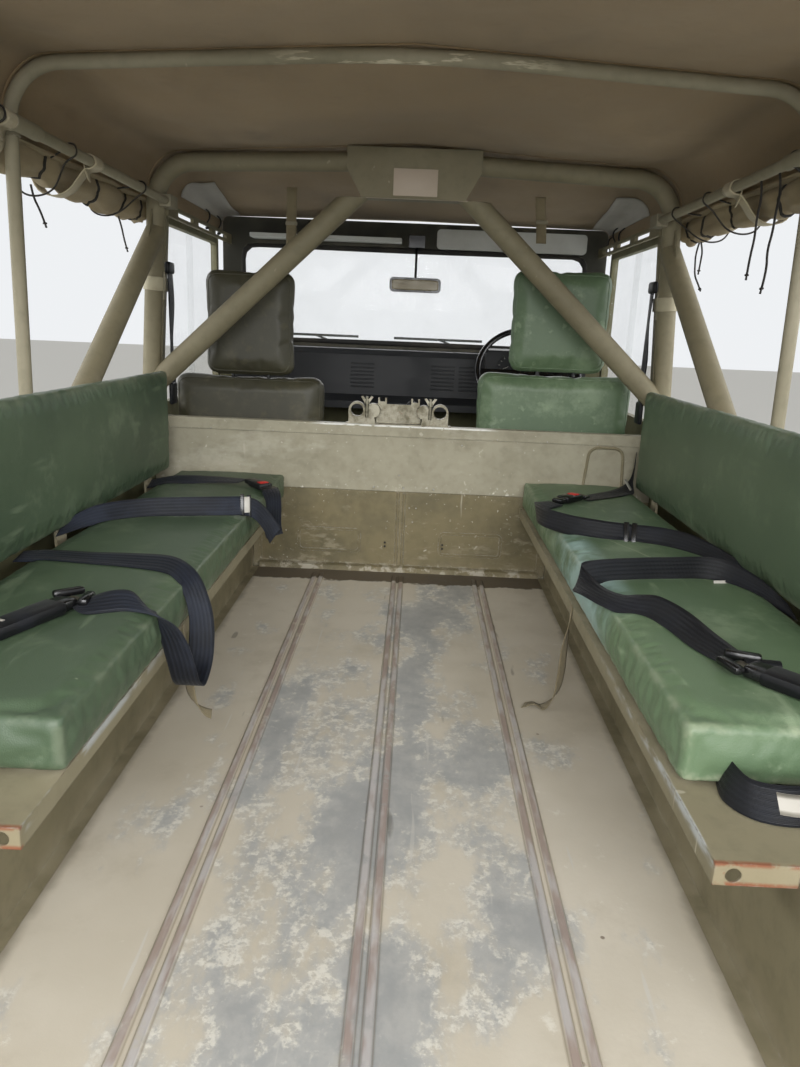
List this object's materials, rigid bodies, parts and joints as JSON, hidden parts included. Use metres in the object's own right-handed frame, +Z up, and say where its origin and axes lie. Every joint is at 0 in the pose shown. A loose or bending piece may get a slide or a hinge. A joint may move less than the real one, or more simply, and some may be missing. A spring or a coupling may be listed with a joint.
{
  "type": "military light truck body",
  "caption": "Open cab and troop bed of a light military truck off its chassis: facing green benches, bulkhead, roll-over hoop, hood hoops and canvas tilt, doors and let-down tailgate.",
  "frame": {"origin": "centre of the four chassis bolts, on the underside of the cross bearers", "axes": "+Y forward along the vehicle, +X to its right, +Z up"},
  "size_m": [1.7582, 3.35, 1.6216],
  "materials": {
    "bed_paint": "worn sand-grey paint with scuffed metal",
    "body_paint": "matt olive drab paint, chipped",
    "canvas": "khaki canvas",
    "bench_vinyl": "green coated fabric, scuffed",
    "webbing": "black woven webbing",
    "strap_canvas": "khaki cotton webbing",
    "cord": "dark braided cotton cord",
    "lamp_lens": "red moulded lens",
    "black_plastic": "satin black",
    "clear_glass": "clear",
    "visor_vinyl": "padded pale grey vinyl",
    "mirror_shell": "mirror in a black shell"
  },
  "bodies": {
    "body": {"tie_cord_left_rear": "cord", "tie_cord_left_front": "cord", "tie_cord_right_front": "cord", "tie_cord_right_short": "cord", "tie_cord_right_middle": "cord", "tie_cord_right_rear": "cord", "bed_floor": "bed_paint", "cross_bearers": "body_paint", "wheel_box_left": "body_paint", "wheel_box_right": "body_paint", "tub_side_left": "body_paint", "tub_side_right": "body_paint", "side_cappings": "body_paint", "bulkhead": "body_paint", "grab_rod": "body_paint", "clamp_bracket": "body_paint", "roll_hoop": "body_paint", "roll_plate": "body_paint", "roll_braces": "body_paint", "roll_stays": "body_paint", "hood_hoops": "body_paint", "side_rails": "body_paint", "rail_clips": "body_paint", "canopy": "canvas", "curtain_rolls": "canvas", "bench_trays": "body_paint", "bench_cushions": "bench_vinyl", "bench_backs": "bench_vinyl", "bench_belts": "webbing", "belt_buckles": "black_plastic", "tie_straps": "strap_canvas", "rear_posts": "body_paint", "rear_lamps": "lamp_lens", "cab_floor": "body_paint", "scuttle": "body_paint", "dash": "black_plastic", "windscreen_frame": "body_paint", "windscreen_glass": "clear_glass", "wipers": "black_plastic", "sun_visors": "visor_vinyl", "mirror": "mirror_shell", "steering_column": "black_plastic", "seat_cushions": "bench_vinyl", "seat_backs": "bench_vinyl", "head_pads": "bench_vinyl", "gear_levers": "black_plastic", "cab_posts": "body_paint", "cab_belts": "webbing", "roof_straps": "strap_canvas"},
    "tailgate": {"tailgate": "body_paint"},
    "steering_wheel": {"steering_wheel": "black_plastic"},
    "door_left": {"door_left": "body_paint", "door_glass_left": "clear_glass"},
    "door_right": {"door_right": "body_paint", "door_glass_right": "clear_glass"}
  },
  "joints": [
    {"name": "door_left_hinge", "type": "hinge", "parent": "body", "child": "door_left", "pos_m": [-0.839, 1.779, 0.19], "axis": [0, 0, -1], "range_deg": [0, 68]},
    {"name": "door_right_hinge", "type": "hinge", "parent": "body", "child": "door_right", "pos_m": [0.839, 1.779, 0.19], "axis": [0, 0, 1], "range_deg": [0, 68]},
    {"name": "tailgate_hinge", "type": "hinge", "parent": "body", "child": "tailgate", "pos_m": [0, -0.976, 0.078], "axis": [-1, 0, 0], "range_deg": [0, 90]},
    {"name": "steering_turn", "type": "hinge", "parent": "body", "child": "steering_wheel", "pos_m": [0.45, 1.45, 0.738], "axis": [0, -0.8192, 0.5736], "range_deg": [-600, 600]}
  ]
}
